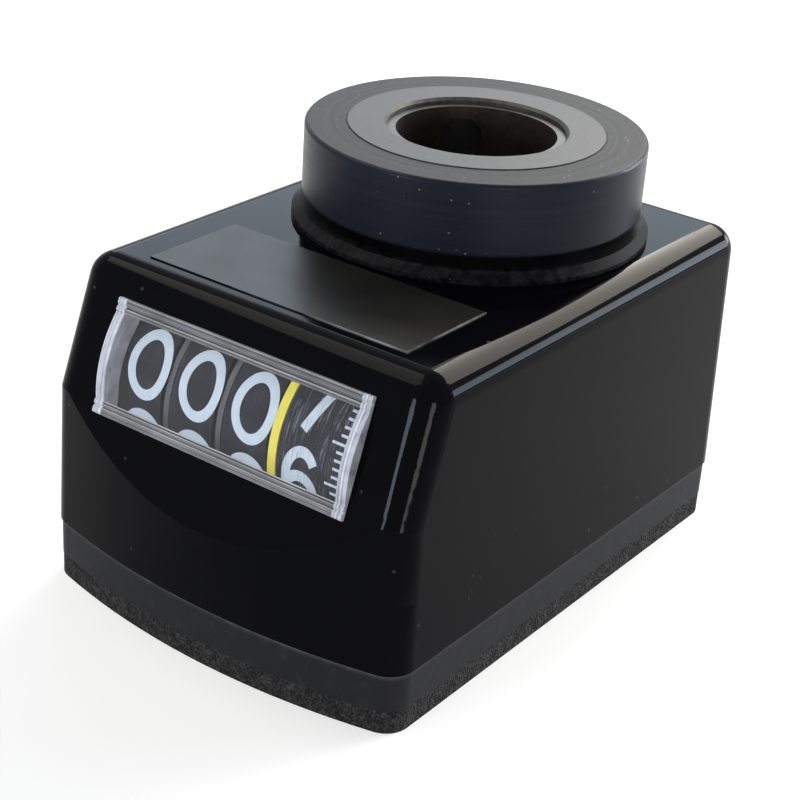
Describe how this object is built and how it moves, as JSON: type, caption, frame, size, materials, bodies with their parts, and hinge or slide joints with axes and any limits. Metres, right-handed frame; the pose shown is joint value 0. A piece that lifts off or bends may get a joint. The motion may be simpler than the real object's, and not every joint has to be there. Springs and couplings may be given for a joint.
{
  "type": "hollow-shaft mechanical position indicator",
  "caption": "Mechanical revolution counter in a glossy case: a slanted window over number drums, a turning hollow steel hub on top and a foam-gasketed base.",
  "frame": {"origin": "middle of the mounting face: bottom centre of the bounding box, in the plane of the foam gasket", "axes": "+Z along the hollow shaft away from the mounting face, -Y toward the window, +X to the right as the window is read"},
  "size_m": [0.048, 0.0676, 0.0483],
  "materials": {
    "case_plastic": "gloss black moulding",
    "window_clear": "clear moulded, frosted sides",
    "plate_dark": "satin dark plate, bare",
    "base_plastic": "fine matte moulding",
    "foam": "open grain foam",
    "screw_steel": "blackened steel",
    "bush_plastic": "dark bearing plastic",
    "seal_rubber": "black rubber",
    "bracket_plastic": "grey moulding",
    "rod_steel": "bright steel",
    "carrier_plastic": "dark moulding",
    "marker_yellow": "yellow moulding",
    "shaft_steel": "blackened turned steel",
    "hub_metal": "satin black, fine turned",
    "sleeve_steel": "oiled dark steel",
    "gear_plastic": "natural moulding",
    "drum_plastic": "dark drum, pale digits"
  },
  "bodies": {
    "housing": {"case": "case_plastic", "window_lens": "window_clear", "label_plate": "plate_dark", "base_cover": "base_plastic", "foam_gasket": "foam", "cover_screws": "screw_steel", "bracket_screws": "screw_steel", "upper_bush": "bush_plastic", "lower_bush": "bush_plastic", "shaft_seal": "seal_rubber", "left_bracket": "bracket_plastic", "right_bracket": "bracket_plastic", "anchor_rod": "rod_steel", "carrier_hundreds": "carrier_plastic", "carrier_tens": "carrier_plastic", "marker_plate": "marker_yellow"},
    "shaft": {"hollow_shaft": "shaft_steel", "hub_ring": "hub_metal", "reducing_sleeve": "sleeve_steel", "set_screw": "screw_steel", "retaining_ring": "rod_steel", "drive_gear": "gear_plastic"},
    "cross": {"cross_shaft": "rod_steel", "cross_pinion": "gear_plastic", "cross_gear": "gear_plastic", "cross_clips": "rod_steel"},
    "fine": {"drum_axle": "rod_steel", "axle_clips": "rod_steel", "input_gear": "gear_plastic", "fine_drum": "drum_plastic"},
    "units": {"drum_units": "drum_plastic"},
    "tens": {"drum_tens": "drum_plastic"},
    "hundreds": {"drum_hundreds": "drum_plastic"},
    "pinion_units": {"transfer_pinion_units": "gear_plastic"},
    "pinion_tens": {"transfer_pinion_tens": "gear_plastic"},
    "pinion_hundreds": {"transfer_pinion_hundreds": "gear_plastic"}
  },
  "joints": [
    {"name": "shaft_spin", "type": "hinge", "parent": "housing", "child": "shaft", "pos_m": [0, 0.01129, 0.0244], "axis": [0, 0, 1], "continuous": true},
    {"name": "cross_spin", "type": "hinge", "parent": "housing", "child": "cross", "pos_m": [0, -0.00568, 0.01045], "axis": [1, 0, 0], "continuous": true},
    {"name": "fine_drum_spin", "type": "hinge", "parent": "housing", "child": "fine", "pos_m": [0, -0.01628, 0.02328], "axis": [1, 0, 0], "continuous": true},
    {"name": "drum_units_spin", "type": "hinge", "parent": "housing", "child": "units", "pos_m": [0, -0.01628, 0.02328], "axis": [1, 0, 0], "continuous": true},
    {"name": "pinion_units_spin", "type": "hinge", "parent": "housing", "child": "pinion_units", "pos_m": [0, -0.00971, 0.02088], "axis": [1, 0, 0], "continuous": true},
    {"name": "drum_tens_spin", "type": "hinge", "parent": "housing", "child": "tens", "pos_m": [0, -0.01628, 0.02328], "axis": [1, 0, 0], "continuous": true},
    {"name": "pinion_tens_spin", "type": "hinge", "parent": "housing", "child": "pinion_tens", "pos_m": [0, -0.00971, 0.02088], "axis": [1, 0, 0], "continuous": true},
    {"name": "drum_hundreds_spin", "type": "hinge", "parent": "housing", "child": "hundreds", "pos_m": [0, -0.01628, 0.02328], "axis": [1, 0, 0], "continuous": true},
    {"name": "pinion_hundreds_spin", "type": "hinge", "parent": "housing", "child": "pinion_hundreds", "pos_m": [0, -0.00971, 0.02088], "axis": [1, 0, 0], "continuous": true}
  ],
  "couplings": [
    {"joint": "cross_spin", "follows": "shaft_spin", "ratio": 4},
    {"joint": "fine_drum_spin", "follows": "shaft_spin", "ratio": -2},
    {"joint": "drum_units_spin", "follows": "shaft_spin", "ratio": -0.2},
    {"joint": "pinion_units_spin", "follows": "shaft_spin", "ratio": -0.66667},
    {"joint": "drum_tens_spin", "follows": "shaft_spin", "ratio": -0.02},
    {"joint": "pinion_tens_spin", "follows": "shaft_spin", "ratio": -0.066667},
    {"joint": "drum_hundreds_spin", "follows": "shaft_spin", "ratio": -0.002},
    {"joint": "pinion_hundreds_spin", "follows": "shaft_spin", "ratio": -0.0066667}
  ]
}
